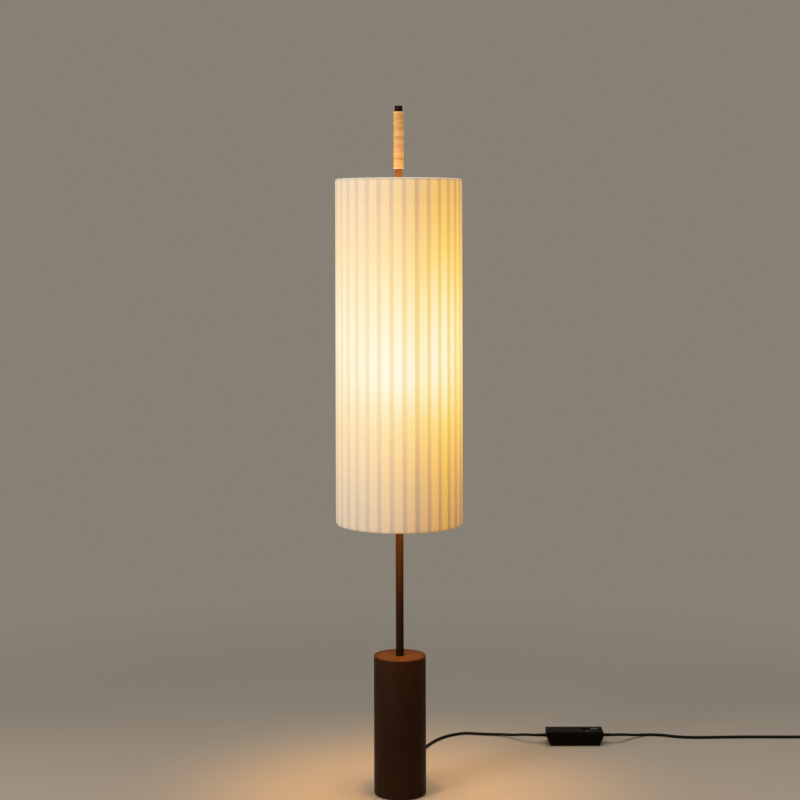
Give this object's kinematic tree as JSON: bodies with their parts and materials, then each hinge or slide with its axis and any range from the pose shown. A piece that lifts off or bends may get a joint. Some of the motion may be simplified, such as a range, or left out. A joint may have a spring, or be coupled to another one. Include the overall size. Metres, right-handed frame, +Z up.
{
  "type": "floor lamp",
  "caption": "Slim floor lamp: heavy cylindrical base, thin stem, tall cylindrical shade of overlapping cotton ribbons, wound grip on top, in-line dimmer and flat plug on a black cord.",
  "frame": {"origin": "on the floor under the middle of the base", "axes": "+Z up along the stem, front faces -Y, the cord runs off towards +X"},
  "size_m": [1.2609, 0.5349, 1.4],
  "materials": {
    "rubber_black": "matt",
    "steel_black": "matt paint",
    "steel_zinc": "bright zinc",
    "iron_raw": "raw casting",
    "bronze_paint": "fine textured dark bronze paint, satin",
    "cane_strip": "natural cane strip, satin",
    "cord_black": "satin cord jacket",
    "lead_white": "insulated lead",
    "holder_white": "gloss",
    "opal_glass": "opal, lit",
    "nickel": "satin nickel",
    "wire_white": "white epoxy paint",
    "cotton_ribbon": "ribbed cotton ribbon, translucent",
    "dimmer_black": "fine grained",
    "knob_grey": "satin",
    "lens_clear": "clear",
    "board_green": "solder mask"
  },
  "bodies": {
    "stand": {"foot_pad": "rubber_black", "base_plate": "steel_black", "base_screws": "steel_zinc", "counterweight": "iron_raw", "base_sleeve": "bronze_paint", "base_top_disc": "bronze_paint", "threaded_rod": "steel_zinc", "rod_nut": "steel_zinc", "rod_washer": "steel_zinc", "stem_insert": "steel_zinc", "stem": "bronze_paint", "end_cap": "bronze_paint", "grip_winding": "cane_strip", "exit_relief": "cord_black", "inner_cord": "cord_black", "lower_lead": "lead_white", "upper_lead": "lead_white", "lower_strip": "steel_zinc", "upper_strip": "steel_zinc", "collar_screws": "steel_zinc", "lower_lampholder": "holder_white", "upper_lampholder": "holder_white", "lampholder_nuts": "steel_zinc", "shade_flange": "bronze_paint", "flange_screw": "steel_zinc", "cord_to_dimmer": "cord_black", "dimmer_reliefs": "dimmer_black", "dimmer_cord_ends": "cord_black", "dimmer_lower_case": "dimmer_black", "dimmer_upper_case": "dimmer_black", "dimmer_board": "board_green", "dimmer_track": "steel_zinc", "dimmer_lens": "lens_clear", "dimmer_screws": "steel_zinc", "cord_to_coil": "cord_black", "cord_coil": "cord_black", "cord_to_plug": "cord_black", "plug_body": "dimmer_black", "plug_pins": "nickel"},
    "shade": {"shade_hub": "wire_white", "shade_arms": "wire_white", "upper_ring": "wire_white", "lower_ring": "wire_white", "shade_struts": "wire_white", "shade_ribbons": "cotton_ribbon"},
    "lower_bulb": {"lower_globe": "opal_glass", "lower_screw_cap": "nickel"},
    "upper_bulb": {"upper_globe": "opal_glass", "upper_screw_cap": "nickel"},
    "dimmer_slider": {"dimmer_slider": "knob_grey"}
  },
  "joints": [
    {"name": "shade_lift", "type": "slide", "parent": "stand", "child": "shade", "axis": [0, 0, 1], "range_m": [0, 0.86]},
    {"name": "lower_bulb_release", "type": "slide", "parent": "stand", "child": "lower_bulb", "axis": [0, 0, 1], "range_m": [0, 0.03]},
    {"name": "upper_bulb_release", "type": "slide", "parent": "stand", "child": "upper_bulb", "axis": [0, 0, 1], "range_m": [0, 0.03]},
    {"name": "dimmer_slide", "type": "slide", "parent": "stand", "child": "dimmer_slider", "axis": [-1, 0, 0], "range_m": [0, 0.02]}
  ]
}
